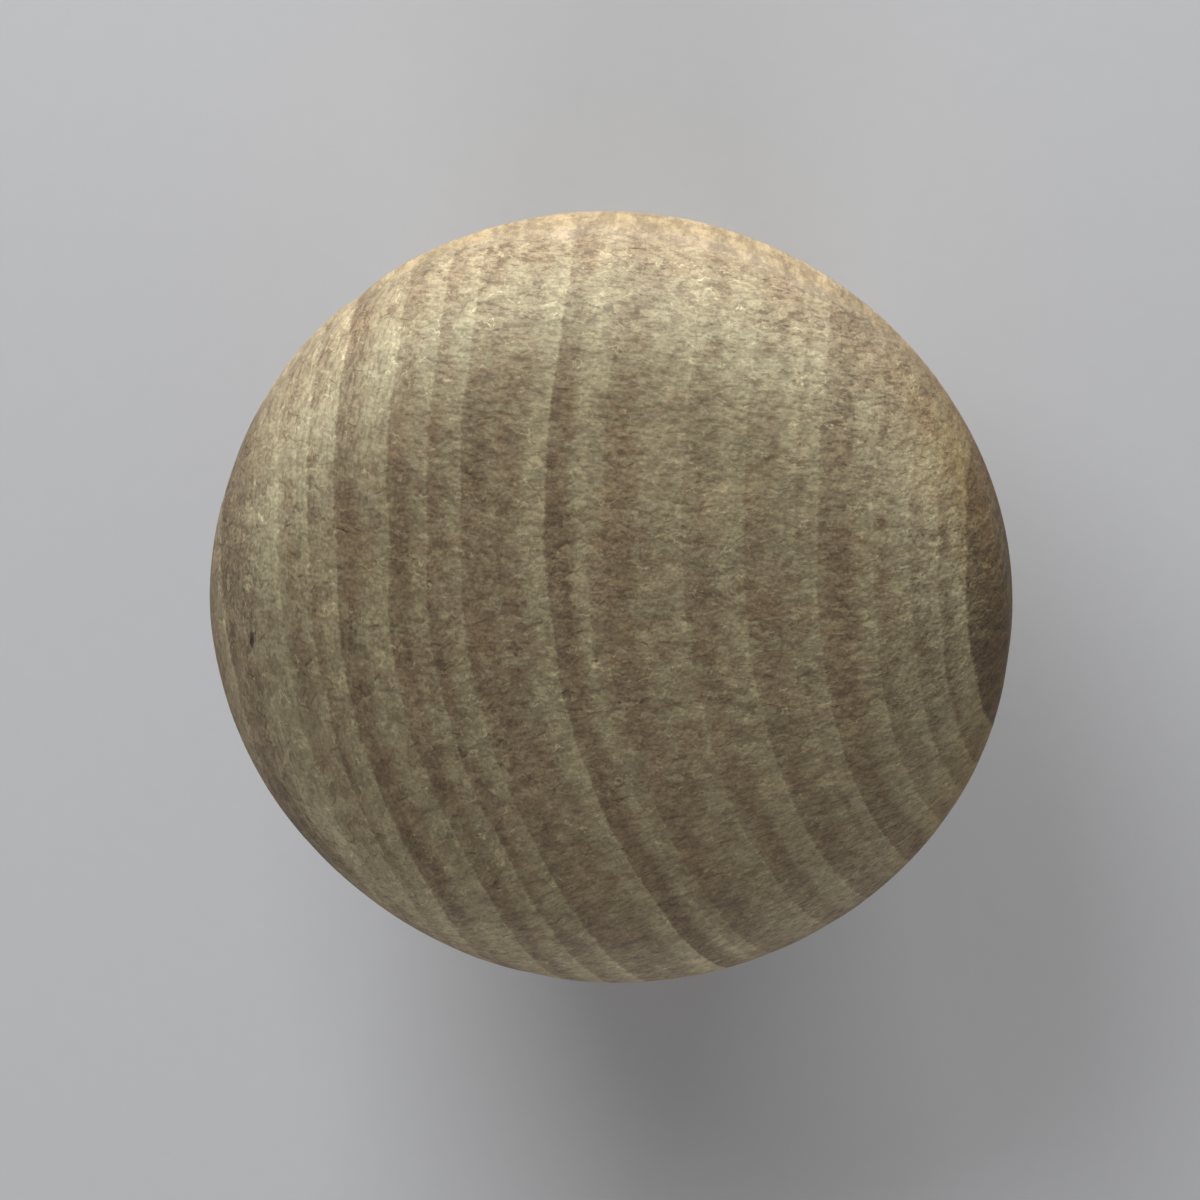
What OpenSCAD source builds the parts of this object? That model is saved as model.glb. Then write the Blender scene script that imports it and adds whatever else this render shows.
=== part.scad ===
// Turned wooden cabinet knob: a broad domed head on a waisted neck, with a flared foot.
// Millimetres. The foot stands on z = 0 and the turning axis is z.

/* [Head] */
// Width of the head across its rim
head_d = 35; // [30:0.5:45]
// Height from the foot of the straight rim to the top of the face
head_h = 9.2; // [8:0.1:10]
// Radius that rolls the face over towards the rim
roll_r = 8; // [7.6:0.1:10]
// How far in from the rim the roll's centre lies, less than its radius
roll_inset = 7.5; // [6:0.1:7.9]
// How far the middle of the face stands above the top of the roll
crown_rise = 1; // [0.5:0.1:2]
// Radius that softens the corner between the roll and the straight rim
corner_r = 4; // [2:0.5:5]
// Radius that rounds the rim into the underside
under_r = 3; // [2:0.1:4]

/* [Neck] */
// Width of the neck at its narrowest
neck_d = 14; // [12:0.5:15]
// Radius of the finger cove between the underside and the neck
cove_r = 7.5; // [5:0.5:8.5]

/* [Foot] */
// Width of the foot, which sits against the door or drawer front
foot_d = 18; // [15.5:0.5:22]
// Height of the straight band round the foot
foot_h = 1.5; // [0.8:0.1:3]
// Radius of the flare between the neck and the foot
flare_r = 5; // [3:0.5:8]
// Size of the chamfer on the foot's lower edge
foot_chamfer = 0.5; // [0.2:0.1:0.7]

/* [Whole knob] */
// Height of the knob from its foot to the top of the face
knob_h = 27; // [26:0.5:36]

/* [Screw hole] */
// Diameter of the pilot hole for the fixing screw
pilot_d = 3.4; // [2.5:0.1:4.5]
// Depth of the pilot hole's straight wall
pilot_depth = 15; // [10:0.5:20]
// Angle across the drill's point, which shapes the end of the hole
drill_angle = 118; // [90:1:140]

/* [Hidden] */
$fn = 128;
mouth_margin = 1;

// Arcs that run on from each other overlap by this much, so that they always join
overlap = 0.0005;

head_r = head_d / 2;
neck_r = neck_d / 2;
foot_r = foot_d / 2;
pilot_r = pilot_d / 2;
rim_foot = knob_h - head_h;

// The profile is a half section, in [distance from the axis, height].
// The crown's circle is centred on the axis and touches the roll's. It is larger by the
// roll's radius than the circle that rises by crown_rise between the roll's two centres.
roll_centre = [head_r - roll_inset, knob_h - crown_rise - roll_r];
crown_r = arc_radius(roll_centre.x, crown_rise) + roll_r;
crown_centre = [0, knob_h - crown_r];

// The corner's circle touches the roll's from inside, and the rim.
corner_x = head_r - corner_r + overlap;
corner_rise = leg(roll_r - corner_r + overlap, corner_x - roll_centre.x);
corner_centre = [corner_x, roll_centre.y + corner_rise];

// The underside's round and the cove touch where one bend turns into the other.
under_centre = [head_r - under_r, rim_foot];
cove_x = neck_r + cove_r;
cove_drop = leg(under_r + cove_r - overlap, cove_x - under_centre.x);
cove_centre = [cove_x, rim_foot - cove_drop];

// The flare leaves the neck upright and meets the foot's band at its top edge.
flare_x = neck_r + flare_r;
flare_centre = [flare_x, foot_h + leg(flare_r, flare_x - foot_r)];

// Unit step in a direction, in degrees from straight outwards
function heading(angle) = [cos(angle), sin(angle)];

// Direction from one point to another
function bearing(from, to) = atan2(to.y - from.y, to.x - from.x);

// Radius of an arc from half its width and its rise
function arc_radius(half, rise) = (half * half + rise * rise) / (2 * rise);

// Third side of a right triangle, from its longest side and one other
function leg(longest, other) = sqrt(longest * longest - other * other);

module disc(centre, radius) {
    translate(centre)
        circle(radius);
}

// Broad middle of the face, out to where the crown's circle touches the roll's
module crown_profile() {
    outward = heading(bearing(crown_centre, roll_centre));
    edge = roll_centre + 2 * roll_r * outward;
    intersection() {
        disc(crown_centre, crown_r);
        polygon([
            [0, rim_foot],
            [roll_centre.x, rim_foot],
            roll_centre,
            edge,
            [0, edge.y]
        ]);
    }
}

// What is turned away where the roll would meet the rim at a corner
module corner_waste() {
    outward = heading(bearing(roll_centre, corner_centre));
    above = corner_centre + roll_r * outward;
    difference() {
        polygon([
            corner_centre,
            above,
            [above.x + roll_r, above.y],
            [above.x + roll_r, corner_centre.y]
        ]);
        disc(corner_centre, corner_r);
    }
}

// Head above the foot of the rim, whose straight side cuts the roll off
module head_profile() {
    difference() {
        intersection() {
            polygon([[0, rim_foot], [head_r, rim_foot], [head_r, knob_h], [0, knob_h]]);
            union() {
                crown_profile();
                disc(roll_centre, roll_r);
                translate([roll_centre.x, rim_foot])
                    square([roll_r, roll_centre.y - rim_foot]);
            }
        }
        corner_waste();
    }
}

// Underside of the head: the rim's lower round, and the cove that hollows it to the neck
module underside_profile() {
    intersection() {
        disc(under_centre, under_r);
        translate([under_centre.x - under_r, rim_foot - under_r - overlap])
            square([2 * under_r + overlap, under_r + overlap]);
    }
    difference() {
        polygon([[0, cove_centre.y], cove_centre, under_centre, [0, rim_foot]]);
        disc(cove_centre, cove_r);
    }
}

module neck_profile() {
    polygon([
        [0, flare_centre.y],
        [neck_r, flare_centre.y],
        [neck_r, cove_centre.y],
        [0, cove_centre.y]
    ]);
}

// Foot, with the flare hollowed out above its band
module foot_profile() {
    difference() {
        polygon([
            [0, 0],
            [foot_r - foot_chamfer, 0],
            [foot_r, foot_chamfer],
            [foot_r, flare_centre.y],
            [0, flare_centre.y]
        ]);
        disc(flare_centre, flare_r);
    }
}

// Blind hole as a twist drill leaves it, open at the foot
module pilot_hole() {
    point_h = pilot_r / tan(drill_angle / 2);
    translate([0, 0, -mouth_margin])
        cylinder(h = pilot_depth + mouth_margin, r = pilot_r);
    translate([0, 0, pilot_depth])
        cylinder(h = point_h, r1 = pilot_r, r2 = 0);
}

module knob() {
    color("tan")
        difference() {
            rotate_extrude() {
                head_profile();
                underside_profile();
                neck_profile();
                foot_profile();
            }
            pilot_hole();
        }
}

knob();
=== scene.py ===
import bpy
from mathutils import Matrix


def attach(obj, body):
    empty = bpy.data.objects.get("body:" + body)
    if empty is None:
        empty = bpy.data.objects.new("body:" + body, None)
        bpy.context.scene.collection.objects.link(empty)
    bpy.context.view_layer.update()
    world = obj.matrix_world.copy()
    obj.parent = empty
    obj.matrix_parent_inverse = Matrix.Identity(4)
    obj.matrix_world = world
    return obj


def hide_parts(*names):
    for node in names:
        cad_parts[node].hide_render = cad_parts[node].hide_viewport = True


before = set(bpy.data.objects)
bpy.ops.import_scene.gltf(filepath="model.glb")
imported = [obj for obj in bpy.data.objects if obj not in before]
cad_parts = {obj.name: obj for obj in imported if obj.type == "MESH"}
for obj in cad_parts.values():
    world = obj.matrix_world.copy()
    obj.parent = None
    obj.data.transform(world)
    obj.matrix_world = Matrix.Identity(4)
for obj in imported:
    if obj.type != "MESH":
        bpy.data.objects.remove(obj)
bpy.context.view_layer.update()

import math

import bpy
import numpy as np
from mathutils import Matrix, Vector

MM = 0.001

# ---------------------------------------------------------------- sizes, mm, as in the CAD part
# An arc is given as (distance of its centre from the axis, height of its centre, radius)
HEAD_R = 17.5
KNOB_H = 27.0
RIM_FOOT = 17.8
ROLL = (10.0, 18.0, 8.0)
CORNER_R = 4.0
CROWN_R = 58.5
UNDER = (14.5, 17.8, 3.0)
COVE = (14.5, 7.3, 7.5)
NECK_R = 7.0
FLARE = (12.0, 5.5, 5.0)
FOOT_R = 9.0
FOOT_H = 1.5
FOOT_CHAMFER = 0.5
PILOT_R = 1.7
PILOT_DEPTH = 15.0
PILOT_TIP = 16.021

# A point this far from a sharp edge keeps the edge crisp under smooth shading
EDGE_HOLD = 0.1


def arc(centre_x, centre_z, radius, start, end, step):
    """Points along an arc from start to end, in degrees, about step mm apart."""
    length = abs(math.radians(end - start)) * radius
    n = max(2, math.ceil(length / step))
    turn = np.radians(np.linspace(start, end, n + 1))
    return [(centre_x + radius * math.cos(t), centre_z + radius * math.sin(t)) for t in turn]


def line(a, b, step):
    """Points along a straight line, at most step mm apart."""
    n = max(1, math.ceil(math.dist(a, b) / step))
    return [(a[0] + (b[0] - a[0]) * i / n, a[1] + (b[1] - a[1]) * i / n) for i in range(n + 1)]


def joined(*runs):
    """One line of points from several that run on from each other."""
    points = []
    for run in runs:
        for p in run:
            if not points or math.dist(p, points[-1]) > 1e-4:
                points.append(p)
    return points


def profile():
    """Half section from the face down, round the foot and up the hole, as (distance, height)."""
    step = 0.2
    crown_z = KNOB_H - CROWN_R
    touch = math.degrees(math.atan2(ROLL[1] - crown_z, ROLL[0]))
    # The soft corner between the roll and the straight rim
    corner_x = HEAD_R - CORNER_R
    corner_turn = math.acos((corner_x - ROLL[0]) / (ROLL[2] - CORNER_R))
    corner_z = ROLL[1] + (ROLL[2] - CORNER_R) * math.sin(corner_turn)
    corner_top = math.degrees(corner_turn)
    foot_turn = math.degrees(math.atan2(FOOT_H - FLARE[1], FOOT_R - FLARE[0]))
    return joined(
        arc(0, crown_z, CROWN_R, 90, touch, step),
        arc(*ROLL, touch, corner_top, step * 0.8),
        arc(corner_x, corner_z, CORNER_R, corner_top, 0, step * 0.8),
        line((HEAD_R, corner_z), (HEAD_R, RIM_FOOT), step),
        arc(*UNDER, 0, -90, step),
        arc(*COVE, 90, 180, step * 1.4),
        line((NECK_R, COVE[1]), (NECK_R, FLARE[1]), step * 2),
        arc(*FLARE, 180, 360 + foot_turn, step * 1.2),
        line((FOOT_R, FOOT_H), (FOOT_R, FOOT_CHAMFER + EDGE_HOLD), 0.3),
        line((FOOT_R, FOOT_CHAMFER), (FOOT_R - FOOT_CHAMFER, 0), 0.25),
        line((FOOT_R - FOOT_CHAMFER - EDGE_HOLD, 0), (PILOT_R + EDGE_HOLD, 0), 0.8),
        line((PILOT_R, 0), (PILOT_R, PILOT_DEPTH), 1.5),
        [(PILOT_R * 0.5, (PILOT_DEPTH + PILOT_TIP) / 2), (0, PILOT_TIP)],
    )


# ---------------------------------------------------------------- growth rings
# Each ring starts at a sharp dark edge and fades to its light side, counted in mm across the face
# from the turning centre: (edge, level just before it, level just after, width of the dark part,
# level at its end, width of the fade, light level). They were read off the photograph by measuring,
# and rounded.
RINGS = [
    (-16.62, 0.10, -0.10, 1.05, -0.09, 0.60, 0.00),
    (-14.90, 0.00, 0.00, 0.30, 0.02, 0.60, 0.09),
    (-13.75, 0.10, 0.04, 0.50, -0.02, 0.45, 0.04),
    (-12.32, 0.075, -0.06, 0.10, -0.05, 0.40, 0.07),
    (-11.12, 0.095, -0.10, 0.55, -0.11, 0.65, 0.05),
    (-8.77, 0.07, -0.06, 0.65, -0.08, 0.40, 0.045),
    (-7.00, 0.07, -0.055, 0.15, -0.06, 0.50, 0.015),
    (-5.47, 0.08, -0.04, 0.95, -0.06, 0.35, -0.015),
    (-3.85, -0.015, -0.035, 0.85, -0.015, 0.55, 0.09),
    (-1.70, 0.10, -0.09, 0.75, -0.10, 0.50, 0.05),
    (0.00, 0.075, 0.035, 0.45, 0.02, 0.05, 0.02),
    (0.70, 0.01, -0.045, 0.80, -0.06, 0.75, 0.015),
    (4.15, 0.055, -0.02, 0.95, -0.04, 0.60, 0.05),
    (6.78, 0.07, -0.03, 1.15, -0.04, 0.50, 0.025),
    (8.88, 0.03, 0.00, 0.12, 0.00, 0.25, 0.055),
    (9.84, 0.055, -0.05, 1.05, -0.075, 0.60, 0.045),
    (12.25, 0.06, -0.01, 0.15, -0.015, 0.60, 0.025),
    (13.80, 0.06, -0.025, 0.20, -0.02, 0.45, 0.045),
    (14.98, 0.06, -0.06, 0.12, -0.06, 0.30, 0.02),
    (16.10, 0.06, -0.15, 1.50, -0.16, 0.50, -0.10),
]
# Half width of a ring's edge, and the width and extra level of the light line just before it
EDGE = 0.05
LIGHT_LINE = (0.16, 0.03)
# The level at the two ends of the list, beyond the rim
RINGS_FROM, RINGS_TO = (-18.5, 0.08), (18.5, -0.10)
RING_LOW, RING_HIGH = -0.2, 0.14

# A colour ramp holds 32 stops, so the rings are shared among four
RING_SPANS = [(-18.0, -9.4), (-9.4, -0.9), (-0.9, 8.0), (8.0, 18.0)]
MOST_STOPS = 32

# The rings bend away towards the lower right: near straight above the middle, slanting below it,
# and a little less towards the sides
BEND_SIZE, BEND_Y, BEND_SOFT, BEND_LEAN = 0.475, -4.1, 12.3, 0.164
BEND_FADE = 0.001


def ring_points():
    """The rings as one line of (place, level)."""
    points = [RINGS_FROM]
    for edge, before, after, dark, still, fade, light in RINGS:
        points += [
            (edge - EDGE - LIGHT_LINE[0], before),
            (edge - EDGE, before + LIGHT_LINE[1]),
            (edge + EDGE, after),
            (edge + EDGE + dark, still),
            (edge + EDGE + dark + fade, light),
        ]
    return points + [RINGS_TO]


RING_X, RING_V = (np.array(column) for column in zip(*ring_points()))


def bend(y):
    """How far the rings have bent aside at a height on the face, in mm."""
    root = math.hypot(BEND_Y, BEND_SOFT)
    swing = np.hypot(y - BEND_Y, BEND_SOFT) - (y - BEND_Y) - (root + BEND_Y)
    return BEND_SIZE * swing + BEND_LEAN * y


def ring_level(x, y):
    """How light the rings make a place, from about -0.2 to 0.14, for the relief of the surface."""
    return np.interp(x - bend(y) * (1 - BEND_FADE * x * x), RING_X, RING_V)


# ---------------------------------------------------------------- the turned form
# Heights off the drawn form, mm
SANDING = 0.012
SANDING_WAVES, SANDING_SEED, SANDING_SIZES = 9, 4, (2.5, 9)
OVAL, SQUARE, OVAL_TURN = 0.06, 0.05, 0.17
RING_RELIEF = 0.06
TOOL_MARKS, TOOL_PITCH = 0.003, 8.3
# Small dents and bumps: (place, radius, height)
NUB = ((-0.02, 0.0), 0.16, 0.07)
PIT_BESIDE_NUB = ((-0.03, 0.42), 0.2, -0.09)
SMALL_PIT = ((-2.43, 1.71), 0.14, -0.07)
KNOCK = ((-11.35, 13.2), 0.7, -0.10)


def ripple(x, y, z, waves, seed):
    """Smooth unevenness from a few sine waves in fixed directions, between about -1 and 1."""
    rng = np.random.default_rng(seed)
    total = np.zeros_like(x)
    for _ in range(waves):
        way = rng.normal(size=3)
        way /= np.linalg.norm(way)
        size = rng.uniform(*SANDING_SIZES)
        along = x * way[0] + y * way[1] + z * way[2]
        total += np.sin(along * 2 * math.pi / size + rng.uniform(0, 6.3))
    return total / math.sqrt(waves)


def spot(x, y, at, radius, height):
    """A round bump, or a dent where height is below 0."""
    return height * np.exp(-((x - at[0]) ** 2 + (y - at[1]) ** 2) / radius**2)


def relief(x, y, z, nz):
    """How far the real surface stands off the drawn form, in mm."""
    r = np.hypot(x, y)
    turn = np.arctan2(y, x)
    head = np.clip((z - 14.5) / 2.5, 0, 1)
    face = np.clip((nz - 0.25) / 0.2, 0, 1)
    outer = np.clip((r - 9) / 7, 0, 1)
    # Hand sanding, and a blank that has dried a little out of round
    out = SANDING * ripple(x, y, z, SANDING_WAVES, SANDING_SEED) * head
    oval = OVAL * np.cos(2 * (turn + OVAL_TURN)) + SQUARE * np.cos(4 * (turn + OVAL_TURN))
    out += oval * head * outer
    # The light part of each ring stands a little higher, and the tool leaves faint circles
    out += RING_RELIEF * ring_level(x, y) * head
    circles = r * TOOL_PITCH + 1.5 * np.sin(turn * 2) + 0.8 * np.sin(r * 2.1)
    out += TOOL_MARKS * np.sin(circles) * face
    for dent in (NUB, PIT_BESIDE_NUB, SMALL_PIT):
        out += spot(x, y, *dent) * face
    out += spot(x, y, *KNOCK)
    return out


def turned(name, points, sides, tips):
    """A closed mesh swept round the axis. tips are the heights of its two ends on the axis."""
    ring = np.array([p for p in points if p[0] > 1e-6])
    turn = np.arange(sides) * 2 * math.pi / sides
    along = np.gradient(ring, axis=0)
    normal = np.stack([-along[:, 1], along[:, 0]], 1)
    normal /= np.linalg.norm(normal, axis=1)[:, None]
    r, z = ring[:, :1], np.repeat(ring[:, 1:], sides, 1)
    x, y = r * np.cos(turn), r * np.sin(turn)
    nz = np.repeat(normal[:, 1:], sides, 1)
    off = relief(x, y, z, nz)
    x += off * normal[:, :1] * np.cos(turn)
    y += off * normal[:, :1] * np.sin(turn)
    z = z + off * nz
    rows = len(ring)
    verts = np.stack([x, y, z], -1).reshape(-1, 3)
    centre = np.array([[0.0, 0.0, tip] for tip in tips])
    centre[0, 2] += relief(np.zeros(1), np.zeros(1), np.full(1, tips[0]), np.ones(1))[0]
    verts = np.concatenate([verts, centre]) * MM
    faces = []
    for i in range(rows - 1):
        here, below = i * sides, (i + 1) * sides
        for j in range(sides):
            k = (j + 1) % sides
            faces.append((here + j, below + j, below + k, here + k))
    top, end, last = rows * sides, rows * sides + 1, (rows - 1) * sides
    for j in range(sides):
        k = (j + 1) % sides
        faces.append((top, j, k))
        faces.append((last + k, last + j, end))
    mesh = bpy.data.meshes.new(name)
    mesh.from_pydata(verts.tolist(), [], faces)
    mesh.validate()
    mesh.shade_smooth()
    obj = bpy.data.objects.new(name, mesh)
    bpy.context.scene.collection.objects.link(obj)
    return obj


knob = turned("turned_knob", profile(), 360, (KNOB_H, PILOT_TIP))
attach(knob, "root")
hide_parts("knob")


# ---------------------------------------------------------------- materials
class Nodes:
    """Short calls that add nodes to one material."""

    def __init__(self, name):
        self.material = bpy.data.materials.new(name)
        self.material.use_nodes = True
        self.tree = self.material.node_tree
        self.shader = self.tree.nodes["Principled BSDF"]

    def add(self, kind, **settings):
        node = self.tree.nodes.new(kind)
        for key, value in settings.items():
            setattr(node, key, value)
        return node

    def put(self, socket, value):
        """Link a socket to the input, or set the input to a plain value."""
        if isinstance(value, bpy.types.NodeSocket):
            self.tree.links.new(value, socket)
        else:
            socket.default_value = value

    # Plain sums, on sockets or numbers
    def math(self, operation, *values):
        node = self.add("ShaderNodeMath", operation=operation)
        for socket, value in zip(node.inputs, values):
            self.put(socket, value)
        return node.outputs[0]

    def times(self, a, b):
        return self.math("MULTIPLY", a, b)

    def over(self, a, b):
        return self.math("DIVIDE", a, b)

    def minus(self, a, b):
        return self.math("SUBTRACT", a, b)

    def plus(self, a, *rest):
        for b in rest:
            a = self.math("ADD", a, b)
        return a

    def absolute(self, a):
        return self.math("ABSOLUTE", a)

    def centred(self, value, size):
        """A level from 0 to 1 made into one from -size/2 to size/2."""
        return self.times(self.minus(value, 0.5), size)

    def blend(self, fac, a, b):
        return self.plus(self.times(a, self.minus(1.0, fac)), self.times(b, fac))

    def span(self, value, low, high, to_low=0.0, to_high=1.0, smooth=True):
        """0 at low and 1 at high, eased unless smooth is False."""
        easing = "SMOOTHSTEP" if smooth else "LINEAR"
        node = self.add("ShaderNodeMapRange", interpolation_type=easing)
        for socket, v in zip(node.inputs, (value, low, high, to_low, to_high)):
            self.put(socket, v)
        return node.outputs[0]

    # Vectors
    def vector(self, x, y, z=0.0):
        node = self.add("ShaderNodeCombineXYZ")
        for socket, value in zip(node.inputs, (x, y, z)):
            self.put(socket, value)
        return node.outputs[0]

    def split(self, vector):
        node = self.add("ShaderNodeSeparateXYZ")
        self.put(node.inputs[0], vector)
        return node.outputs

    def vector_math(self, operation, *values):
        node = self.add("ShaderNodeVectorMath", operation=operation)
        for socket, value in zip(node.inputs, values):
            self.put(socket, value)
        return node

    # Textures
    def noise_node(self, vector, scale, detail, flat):
        node = self.add("ShaderNodeTexNoise", noise_dimensions="2D" if flat else "3D")
        self.put(node.inputs["Vector"], vector)
        node.inputs["Scale"].default_value = scale
        node.inputs["Detail"].default_value = detail
        return node

    def noise(self, vector, scale, detail=3.0, rough=0.55, flat=False):
        node = self.noise_node(vector, scale, detail, flat)
        node.inputs["Roughness"].default_value = rough
        return node.outputs["Fac"]

    def cells(self, vector, scale):
        """Blocky cells, each with two random levels of its own."""
        node = self.add(
            "ShaderNodeTexVoronoi",
            voronoi_dimensions="2D",
            feature="F1",
            distance="CHEBYCHEV",
        )
        self.put(node.inputs["Vector"], vector)
        node.inputs["Scale"].default_value = scale
        levels = self.split(node.outputs["Color"])
        return levels[0], levels[1]

    def hairs(self, vector, scale, half_length, half_width, swing):
        """Short strokes, one to a cell, turned by up to swing radians, each of its own strength."""
        cell = self.add("ShaderNodeTexVoronoi", voronoi_dimensions="2D", feature="F1")
        self.put(cell.inputs["Vector"], vector)
        cell.inputs["Scale"].default_value = scale
        levels = self.split(cell.outputs["Color"])
        away = self.vector_math("SUBTRACT", vector, cell.outputs["Position"]).outputs[0]
        turn = self.add("ShaderNodeVectorRotate", rotation_type="Z_AXIS")
        self.put(turn.inputs["Vector"], away)
        self.put(turn.inputs["Angle"], self.centred(levels[0], 2 * swing))
        place = self.split(turn.outputs[0])
        along = self.span(self.absolute(place[0]), half_length, half_length * 0.5)
        aside = self.span(self.absolute(place[1]), half_width, half_width * 0.3)
        strength = self.span(levels[1], 0.25, 1.0, smooth=False)
        return self.times(self.times(along, aside), strength)

    # Colours
    def mix(self, fac, a, b, blend="MIX"):
        node = self.add("ShaderNodeMix", data_type="RGBA", blend_type=blend)
        self.put(node.inputs[0], fac)
        self.put(node.inputs[6], a)
        self.put(node.inputs[7], b)
        return node.outputs[2]

    def ramp(self, fac, stops):
        """A ramp of plain levels, stops as (place, level)."""
        node = self.add("ShaderNodeValToRGB")
        self.put(node.inputs[0], fac)
        ramp = node.color_ramp
        while len(ramp.elements) < len(stops):
            ramp.elements.new(0.5)
        for element, (place, level) in zip(ramp.elements, stops):
            element.position = place
            element.color = (level, level, level, 1)
        return node.outputs[0]


# Small marks on the face, some of them the painted highlight and painted shade on the walls of its
# pits, mm and degrees: (middle, (half length, half width), turn, change of tone)
MARKS_AND_PAINTED_PIT_LIGHT = [
    # Painted highlight on the lit lower wall and painted shade on the upper wall of the pit at the
    # turning centre
    ((-0.03, -0.02), (0.20, 0.09), 0, 0.30),
    ((-0.03, 0.24), (0.19, 0.06), 0, -0.32),
    ((0.22, -0.12), (0.16, 0.08), -35, 0.22),
    # Painted highlight on the lit lower wall and painted shade on the upper wall of the small pit
    ((-2.40, 1.70), (0.22, 0.12), 10, 0.20),
    ((-2.44, 1.92), (0.18, 0.07), 10, -0.25),
    ((-3.75, 0.45), (0.20, 0.16), 0, 0.16),
    ((0.05, 7.55), (0.42, 0.07), -28, 0.20),
    ((0.30, 7.40), (0.30, 0.06), 60, 0.16),
    ((-15.31, -0.40), (0.10, 0.42), 0, -0.40),
    ((-10.90, 5.65), (0.40, 0.10), -8, 0.18),
    ((-10.86, 5.40), (0.40, 0.06), -8, -0.14),
    ((2.40, 2.60), (0.34, 0.09), 38, 0.14),
    ((-11.45, -3.05), (0.26, 0.10), 35, 0.20),
    ((-14.0, -8.0), (2.0, 0.26), -60, -0.13),
    ((-12.0, -10.9), (2.3, 0.30), -48, -0.17),
    ((-12.6, -9.5), (1.2, 0.09), -53, -0.14),
    ((-13.5, -7.5), (1.0, 0.08), -61, -0.12),
]
SCRATCHES = [
    ((-4.6, -4.15), (3.9, 0.035), -3.6, 0.09),
    ((-8.0, -3.0), (2.2, 0.03), 12, 0.08),
    ((6.2, -6.9), (1.4, 0.035), 34, 0.12),
    ((1.9, -5.6), (1.6, 0.03), -52, 0.08),
    ((-3.0, 9.4), (2.4, 0.03), 4, 0.07),
    ((7.6, 3.3), (1.8, 0.03), 62, 0.07),
]
# Broad lighter and darker places in the wood
SHADES = [
    ((5.0, 10.2), (8.0, 4.0), -8, 0.085),
    ((-5.5, 0.5), (4.5, 9.0), 6, -0.035),
    ((2.0, -11.0), (13.0, 5.0), 0, -0.040),
    ((12.3, 11.6), (3.4, 3.2), 0, -0.130),
    ((-7.7, -13.4), (4.0, 2.4), -30, 0.060),
    ((15.0, 3.0), (1.5, 5.0), 0, -0.040),
    ((3.5, 15.6), (6.0, 1.6), -14, -0.030),
]
# Where a mark starts and is full, as the square of the distance over its half size
SHARP_EDGE, SOFT_EDGE = (1.3, 0.4), (1.8, 0.0)

# How strongly each texture of the end grain shows in the middle of the face, and how much of that
# it loses at the left or towards the top and bottom
CLOUD = 0.18
MOTTLE, MOTTLE_LOSS_LEFT = 0.14, 0.07
PATCH, PATCH_LOSS_OUTWARD = 0.18, 0.04
CHIP, CHIP_LOSS_OUTWARD = 0.19, 0.11
STROKE, STROKE_GAIN_OUTWARD = 0.07, 0.08
SPECK, SPECK_LOSS_OUTWARD = 0.44, 0.14
LIGHT_HAIR, DARK_HAIR = 0.29, -0.23
# The same for the long grain of the sides
SIDE_STREAK, SIDE_SPECK, SIDE_MOTTLE, SIDE_CHIP = 0.34, 0.24, 0.18, 0.08

# How strongly the growth rings show on end grain and on long grain
RING_GAIN, SIDE_RING_GAIN = 1.38, 0.8
TONE_LEVEL = 1.012
TONE_POWER = 2.2

# Colours, from where the wood is dark to where it is light
FACE = (0.2100, 0.149, 0.0850, 1), (0.1770, 0.149, 0.0890, 1)
ROLLED = (0.3270, 0.266, 0.1660, 1), (0.2935, 0.266, 0.1700, 1)
# Colours of the sides, on the head and below it
SIDE = (0.396, 0.312, 0.206, 1), (0.398, 0.300, 0.176, 1)
# What the colour is multiplied by round the rim, and at its right and lower left: painted shade
# that makes the rim browner and darker, at the right together with the wood's own dark band
RIM_SHADE_TINT = (1.0, 0.895, 0.88, 1)
RIM_GRAIN_AND_SHADE_TINT_RIGHT = (1.0, 0.81, 0.60, 1)
RIM_SHADE_TINT_LOW_LEFT = (1.0, 0.845, 0.79, 1)
SIDE_GRAIN_AND_SHADE_TINT_RIGHT = (0.62, 0.50, 0.38, 1)
# Painted shade: how much darker the rim is than the face, on all but its top where the light falls,
# and more at the bottom and lower left
RIM_PAINTED_SHADE, RIM_PAINTED_SHADE_BOTTOM, RIM_PAINTED_SHADE_LOW_LEFT = 0.24, 0.12, 0.16

PORE_DEPTH = 0.00007


def ring_node(n, u):
    """The ring levels as 0 to 1, from four ramps side by side."""
    total = None
    for low, high in RING_SPANS:
        inside = [(a, v) for a, v in zip(RING_X, RING_V) if low < a < high]
        ends = [(end, float(np.interp(end, RING_X, RING_V))) for end in (low, high)]
        stops = [
            ((a - low) / (high - low), (v - RING_LOW) / (RING_HIGH - RING_LOW))
            for a, v in [ends[0]] + inside + [ends[1]]
        ]
        assert len(stops) <= MOST_STOPS, len(stops)
        level = n.ramp(n.span(u, low, high, smooth=False), stops)
        if total is None:
            total = level
        else:
            total = n.mix(n.math("GREATER_THAN", u, low), total, level)
    return total


def marks_and_painted_pit_light(n, x, y, z):
    """Small knocks, pits, scratches and broad shades on the head, as a change of tone, with painted
    highlight and painted shade on the walls of the pits.
    """
    total = 0.0
    sharp = [(*mark, *SHARP_EDGE) for mark in MARKS_AND_PAINTED_PIT_LIGHT + SCRATCHES]
    soft = [(*shade, *SOFT_EDGE) for shade in SHADES]
    for (at_x, at_y), (half_length, half_width), turn, change, outside, inside in sharp + soft:
        cos, sin = math.cos(math.radians(turn)), math.sin(math.radians(turn))
        dx, dy = n.minus(x, at_x), n.minus(y, at_y)
        along = n.plus(n.times(dx, cos / half_length), n.times(dy, sin / half_length))
        aside = n.plus(n.times(dx, -sin / half_width), n.times(dy, cos / half_width))
        far = n.plus(n.times(along, along), n.times(aside, aside))
        total = n.plus(total, n.span(far, outside, inside, 0.0, change))
    return n.times(total, n.span(z, 17.0, 18.0))


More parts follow.
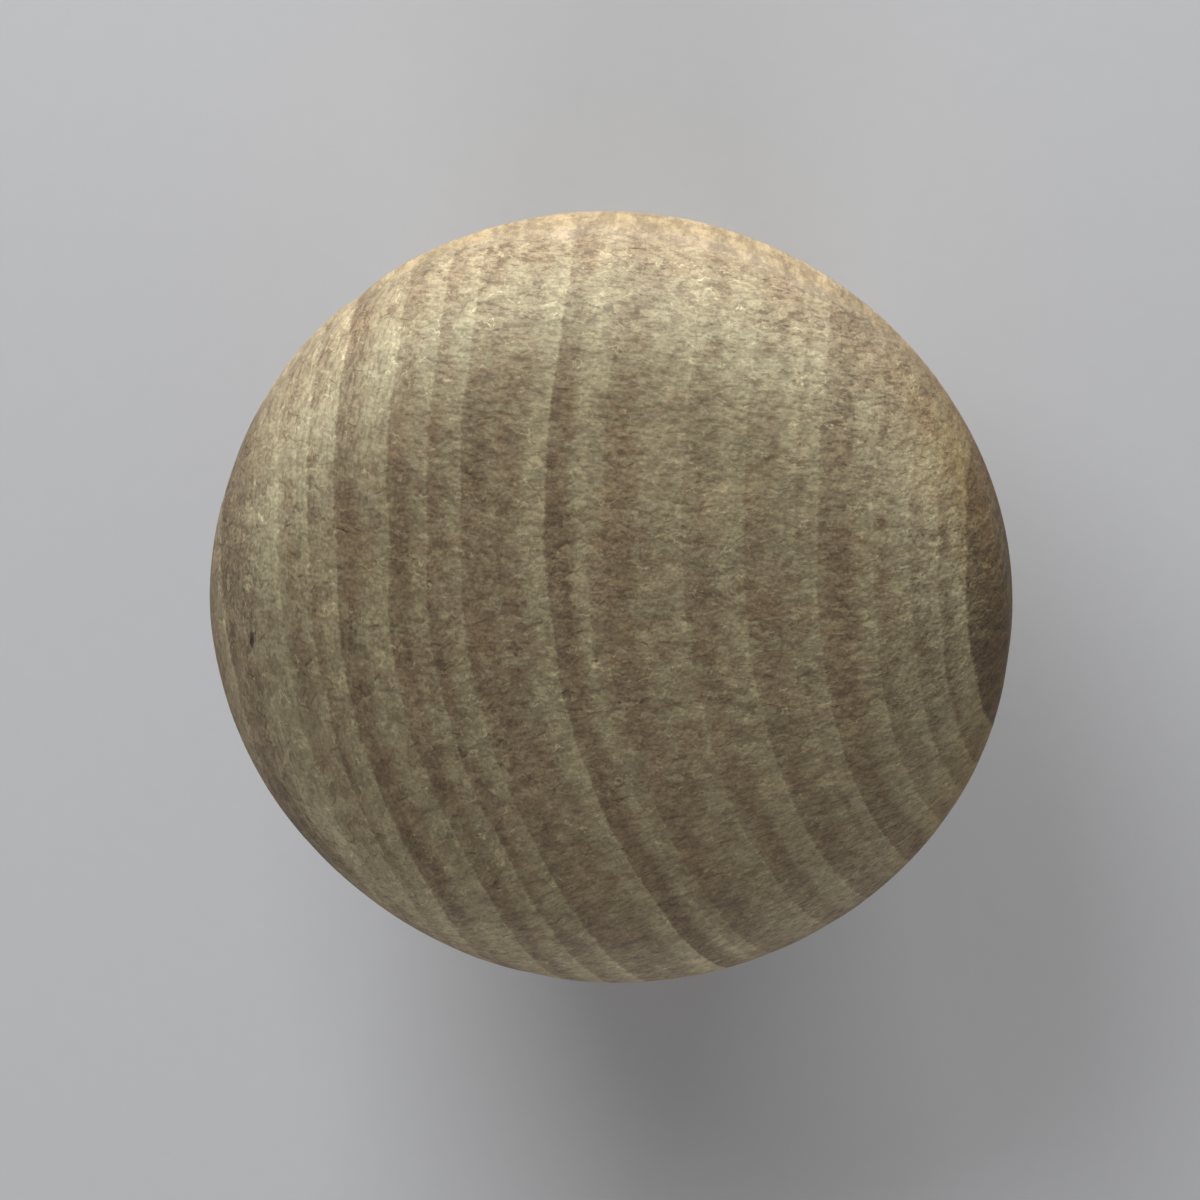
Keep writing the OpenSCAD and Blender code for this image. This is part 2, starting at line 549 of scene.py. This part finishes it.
def ring_coordinates(n, x, y):
    """u counts in mm across the growth rings, which bend over the face, and v along them."""
    dy = n.minus(y, BEND_Y)
    root = n.math("SQRT", n.plus(n.times(dy, dy), BEND_SOFT**2))
    start = math.hypot(BEND_Y, BEND_SOFT) + BEND_Y
    swing = n.minus(n.minus(root, dy), start)
    curve = n.plus(n.times(swing, BEND_SIZE), n.times(y, BEND_LEAN))
    first = n.minus(x, curve)
    kept = n.minus(1.0, n.times(n.times(first, first), BEND_FADE))
    u = n.minus(x, n.times(curve, kept))
    lean = n.plus(n.times(n.minus(n.over(dy, root), 1.0), BEND_SIZE), BEND_LEAN)
    return u, n.plus(y, n.times(x, lean))


def wood():
    """End grain on the face and roll, long grain on the sides, both cut through the same rings."""
    n = Nodes("turned_wood")
    coords = n.add("ShaderNodeTexCoord")
    scaled = n.add("ShaderNodeVectorMath", operation="SCALE")
    n.put(scaled.inputs[0], coords.outputs["Object"])
    scaled.inputs["Scale"].default_value = 1 / MM
    p = scaled.outputs[0]
    x, y, z = n.split(p)
    up = n.absolute(n.split(coords.outputs["Normal"])[2])
    r = n.math("SQRT", n.plus(n.times(x, x), n.times(y, y)))
    safe_r = n.math("MAXIMUM", r, 0.3)
    right, top = n.over(x, safe_r), n.over(y, safe_r)

    # The fine texture is laid out as if the roll were pressed flat, so it doesn't stretch there
    u, v = ring_coordinates(n, x, y)
    drop = n.math("MAXIMUM", n.minus(KNOB_H, z), 0.0)
    spread = n.plus(n.times(n.over(drop, safe_r), 0.6), 1.0)
    flat_u, flat_v = n.times(u, spread), n.times(v, spread)
    flat = n.vector(flat_u, flat_v)

    def grain(across, along, detail, rough):
        """Noise with so many waves a mm across the rings and along them."""
        place = n.vector(n.times(flat_u, across), n.times(flat_v, along))
        return n.noise(place, 1.0, detail, rough, flat=True)

    # The rings, with edges that wander and are ragged
    wander = n.centred(n.noise(p, 0.16, 2.0), 0.7)
    ragged = n.centred(grain(1.6, 2.8, 3.0, 0.75), 0.34)
    level = ring_node(n, n.plus(u, wander, ragged))
    ring = n.span(level, 0.0, 1.0, RING_LOW, RING_HIGH, smooth=False)

    # The end grain: clouds, patches with ragged edges, and short strokes that lie across the rings,
    # and along them at the left
    at_left = n.span(x, -6.5, -11.0)
    outward = n.span(n.absolute(v), 5.0, 11.0)
    cloud = grain(0.50, 0.20, 3.0, 0.6)
    mottle = n.span(grain(0.95, 1.10, 4.0, 0.80), 0.38, 0.62)
    shake = n.noise_node(flat, 2.3, 2.0, flat=True).outputs["Color"]
    shaken = n.vector_math("MULTIPLY_ADD", shake, (0.9, 0.9, 0.0), flat).outputs[0]
    longer = n.vector_math("MULTIPLY", shaken, (1.0, 1.5, 1.0)).outputs[0]
    patch, patch_hue = n.cells(longer, 1.5)
    chip, chip_hue = n.cells(longer, 3.6)
    across_strokes, along_strokes = grain(1.5, 4.2, 2.0, 0.6), grain(3.8, 1.3, 2.0, 0.6)
    stroke = n.span(n.blend(at_left, across_strokes, along_strokes), 0.41, 0.52)
    speck = grain(5.5, 7.0, 2.0, 0.8)
    # Light hairs of torn fibre, and dark cracks between them
    light_hair = n.hairs(shaken, 1.35, 0.42, 0.050, 0.75)
    dark_hair = n.hairs(flat, 1.15, 0.36, 0.050, 0.60)
    end_grain = n.plus(
        n.centred(mottle, n.minus(MOTTLE, n.times(at_left, MOTTLE_LOSS_LEFT))),
        n.centred(patch, n.minus(PATCH, n.times(outward, PATCH_LOSS_OUTWARD))),
        n.centred(chip, n.minus(CHIP, n.times(outward, CHIP_LOSS_OUTWARD))),
        n.centred(stroke, n.plus(n.times(outward, STROKE_GAIN_OUTWARD), STROKE)),
        n.centred(speck, n.minus(SPECK, n.times(outward, SPECK_LOSS_OUTWARD))),
        n.centred(cloud, CLOUD),
        n.times(light_hair, LIGHT_HAIR),
        n.times(dark_hair, DARK_HAIR),
    )

    # Where the sides' long grain shows: low on the rim, and higher where the surface runs across
    # the rings
    turned_to = n.over(n.plus(n.times(x, 0.17), n.times(y, 0.985)), safe_r)
    across_rings = n.span(n.absolute(turned_to), 0.80, 0.97)
    fray = n.noise(p, 0.75, 4.0, 0.75)
    above = n.minus(z, n.plus(18.4, n.times(across_rings, 2.1), n.centred(fray, 4.6)))
    rim = n.span(z, 16.8, 17.6)
    underneath = n.times(n.span(z, 17.6, 16.8), n.span(up, 0.78, 0.38))
    long_grain = n.plus(n.times(n.span(above, 0.5, -0.5), rim), underneath)

    # The sides: streaks down the axis
    streak_place = n.vector(n.times(x, 2.2), n.times(y, 2.2), n.times(z, 0.16))
    streak = n.noise(streak_place, 1.6, 4.0, 0.7)
    side = n.plus(
        n.centred(streak, SIDE_STREAK),
        n.centred(speck, SIDE_SPECK),
        n.centred(mottle, SIDE_MOTTLE),
        n.centred(chip, SIDE_CHIP),
    )
    detail = n.blend(long_grain, end_grain, side)

    # The rings fade on the roll, but not at the left or the lower right, where they are clearest
    slant = n.span(up, 0.985, 0.62)
    at_low_right = n.span(n.minus(x, y), 8.0, 17.0)
    kept = n.plus(n.times(at_left, 0.25), n.times(at_low_right, 0.35))
    faded = n.times(slant, n.minus(0.35, kept))
    clear = n.plus(n.times(at_low_right, 0.30), 1.0)
    gain = n.times(n.blend(long_grain, RING_GAIN, SIDE_RING_GAIN), n.minus(1.0, faded))
    gain = n.times(gain, clear)
    tone = n.plus(TONE_LEVEL, n.times(ring, gain), detail, marks_and_painted_pit_light(n, x, y, z))
    tone = n.math("POWER", n.math("MAXIMUM", tone, 0.05), TONE_POWER)

    # Darker wood is redder and lighter wood is straw coloured, with larger pink and khaki patches
    # over both
    blush = grain(0.42, 0.30, 4.0, 0.7)
    lightness = n.plus(
        n.span(tone, 0.68, 1.32, smooth=False),
        n.times(ring, 1.5),
        n.centred(blush, 1.3),
        n.centred(patch_hue, 0.35),
        n.centred(chip_hue, 0.35),
    )
    colour = n.mix(slant, n.mix(lightness, *FACE), n.mix(lightness, *ROLLED))
    below_head = n.span(n.plus(z, n.centred(fray, 5.0)), 20.2, 18.4)
    side_colour = n.mix(below_head, *SIDE)

    # Browner round the rim, most of all at the right, and darker there except at the top: painted
    # shade, which at the right also holds the wood's own dark band
    steep = n.span(up, 0.88, 0.35)
    to_right = n.span(right, 0.64, 0.97)
    to_top = n.span(top, 0.3, 0.7)
    to_bottom = n.span(top, 0.0, -0.7)
    low_left = n.over(n.plus(n.times(x, -0.80), n.times(y, -0.60)), safe_r)
    to_low_left = n.span(low_left, 0.55, 0.90)
    # Painted shade: the rim browner and darker, more at the lower left, and at the right also the
    # wood's own dark band
    rim_shade_and_grain_tint = n.mix(to_right, RIM_SHADE_TINT, RIM_GRAIN_AND_SHADE_TINT_RIGHT)
    rim_shade_and_grain_tint = n.mix(to_low_left, rim_shade_and_grain_tint, RIM_SHADE_TINT_LOW_LEFT)
    colour = n.mix(steep, colour, rim_shade_and_grain_tint, "MULTIPLY")
    # Painted shade: the rim darkened all round except at its lit top
    painted_rim_shade = n.plus(
        n.times(n.minus(1.0, to_top), RIM_PAINTED_SHADE),
        n.times(to_bottom, RIM_PAINTED_SHADE_BOTTOM),
        n.times(to_low_left, RIM_PAINTED_SHADE_LOW_LEFT),
    )
    tone = n.times(tone, n.minus(1.0, n.times(n.times(steep, rim), painted_rim_shade)))
    # Browner and darker sides at the right: the wood's own dark band, with painted shade
    side_colour = n.mix(n.times(to_right, rim), side_colour, SIDE_GRAIN_AND_SHADE_TINT_RIGHT, "MULTIPLY")
    colour = n.mix(long_grain, colour, side_colour)
    colour = n.mix(1.0, colour, n.vector(tone, tone, tone), "MULTIPLY")
    n.put(n.shader.inputs["Base Color"], colour)
    roughness = n.span(detail, -0.3, 0.3, 0.62, 0.78, smooth=False)
    n.put(n.shader.inputs["Roughness"], roughness)
    n.shader.inputs["Specular IOR Level"].default_value = 0.3

    # Torn fibres and pores, left by the tool and the sanding
    pores = n.noise(p, 2.6, 1.0, 0.7)
    bump = n.add("ShaderNodeBump")
    bump.inputs["Strength"].default_value = 1.0
    bump.inputs["Distance"].default_value = PORE_DEPTH
    n.put(bump.inputs["Height"], pores)
    n.put(n.shader.inputs["Normal"], bump.outputs[0])
    return n.material


knob.data.materials.append(wood())

# ---------------------------------------------------------------- floor and background
BACKDROP = (0.50, 0.505, 0.53, 1)
ROOM_COLOUR, ROOM_STRENGTH = (1.0, 0.98, 0.96, 1), 0.18
FLOOR_COLOURS = (0.59, 0.60, 0.63, 1), (0.63, 0.64, 0.665, 1)
FLOOR_HALF = 3.0
# The floor starts to run into the background at the first distance and has done so at the second
FLOOR_FADE = (0.055, 0.16)


def seen_directly(add, link):
    """1 where a ray comes straight from the camera, or off gloss or through glass."""
    path = add("ShaderNodeLightPath")
    either = path.outputs["Is Camera Ray"]
    for kind in ("Is Glossy Ray", "Is Transmission Ray"):
        node = add("ShaderNodeMath")
        node.operation = "MAXIMUM"
        link(either, node.inputs[0])
        link(path.outputs[kind], node.inputs[1])
        either = node.outputs[0]
    return either


def pale_floor():
    """A faintly clouded pale floor that runs into the background far from the knob."""
    n = Nodes("pale_floor")
    at = n.add("ShaderNodeTexCoord").outputs["Object"]
    cloud = n.noise(at, 14.0, 1.0, flat=True)
    speck = n.noise(at, 900.0, 1.0, flat=True)
    level = n.plus(n.times(cloud, 0.7), n.times(speck, 0.3))
    n.put(n.shader.inputs["Base Color"], n.mix(level, *FLOOR_COLOURS))
    n.shader.inputs["Roughness"].default_value = 0.85
    n.shader.inputs["Specular IOR Level"].default_value = 0.2

    far = n.vector_math("LENGTH", at).outputs["Value"]
    seen = seen_directly(n.add, n.tree.links.new)
    backdrop = n.add("ShaderNodeEmission")
    backdrop.inputs["Color"].default_value = BACKDROP
    both = n.add("ShaderNodeMixShader")
    n.put(both.inputs[0], n.times(seen, n.span(far, *FLOOR_FADE)))
    n.put(both.inputs[1], n.shader.outputs[0])
    n.put(both.inputs[2], backdrop.outputs[0])
    n.put(n.tree.nodes["Material Output"].inputs["Surface"], both.outputs[0])
    return n.material


scene = bpy.context.scene
corners = [(a * FLOOR_HALF, b * FLOOR_HALF, 0) for a, b in ((-1, -1), (1, -1), (1, 1), (-1, 1))]
floor_mesh = bpy.data.meshes.new("floor")
floor_mesh.from_pydata(corners, [], [(0, 1, 2, 3)])
floor = bpy.data.objects.new("floor", floor_mesh)
scene.collection.objects.link(floor)
floor.data.materials.append(pale_floor())

world = bpy.data.worlds.new("room")
world.use_nodes = True
scene.world = world
tree = world.node_tree
room = tree.nodes["Background"]
room.inputs["Color"].default_value = ROOM_COLOUR
room.inputs["Strength"].default_value = ROOM_STRENGTH
seen = tree.nodes.new("ShaderNodeBackground")
seen.inputs["Color"].default_value = BACKDROP
direct = seen_directly(tree.nodes.new, tree.links.new)
either = tree.nodes.new("ShaderNodeMixShader")
tree.links.new(direct, either.inputs[0])
tree.links.new(room.outputs[0], either.inputs[1])
tree.links.new(seen.outputs[0], either.inputs[2])
tree.links.new(either.outputs[0], tree.nodes["World Output"].inputs[0])

# ---------------------------------------------------------------- camera
# Its place, direction and lens come from the head's outline and turning centre in the photograph
CAMERA_PLACE = Vector((0.039197, 0.180120, 0.486780))
CAMERA_BACK = Vector((0.07893, 0.35822, 0.93029)).normalized()
LENS_MM, SENSOR_MM = 343.33, 36.0

lens = bpy.data.cameras.new("camera")
lens.sensor_width = SENSOR_MM
lens.lens = LENS_MM
lens.clip_start, lens.clip_end = 0.05, 20.0
camera = bpy.data.objects.new("camera", lens)
scene.collection.objects.link(camera)
right = Vector((0, 1, 0)).cross(CAMERA_BACK).normalized()
upward = CAMERA_BACK.cross(right)
columns = (right, upward, CAMERA_BACK, CAMERA_PLACE)
rows = [[column[i] for column in columns] for i in range(3)]
camera.matrix_world = Matrix(rows + [(0, 0, 0, 1)])
scene.camera = camera

# ---------------------------------------------------------------- light
LAMP_AIM = Vector((0, 0, 0.02))
# (name, place, width and height in m, watts, colour)
SOFTBOXES = [
    ("low_window", (0.0, 0.398, 0.080), (0.16, 0.08), 1.50, (0.98, 1.0, 1.0)),
    ("high_window", (-0.112, 0.308, 0.249), (0.20, 0.20), 0.98, (1.0, 1.0, 1.0)),
    ("bounce", (0.0, -0.386, 0.124), (0.20, 0.16), 0.50, (1.0, 0.96, 0.92)),
]

for name, at, size, watts, tint in SOFTBOXES:
    data = bpy.data.lights.new(name, "AREA")
    data.shape = "RECTANGLE"
    data.size, data.size_y = size
    data.energy = watts
    data.color = tint
    lamp = bpy.data.objects.new(name, data)
    lamp.visible_camera = False
    lamp.location = at
    lamp.rotation_euler = (LAMP_AIM - Vector(at)).to_track_quat("-Z", "Y").to_euler()
    scene.collection.objects.link(lamp)

scene.view_settings.view_transform = "Standard"
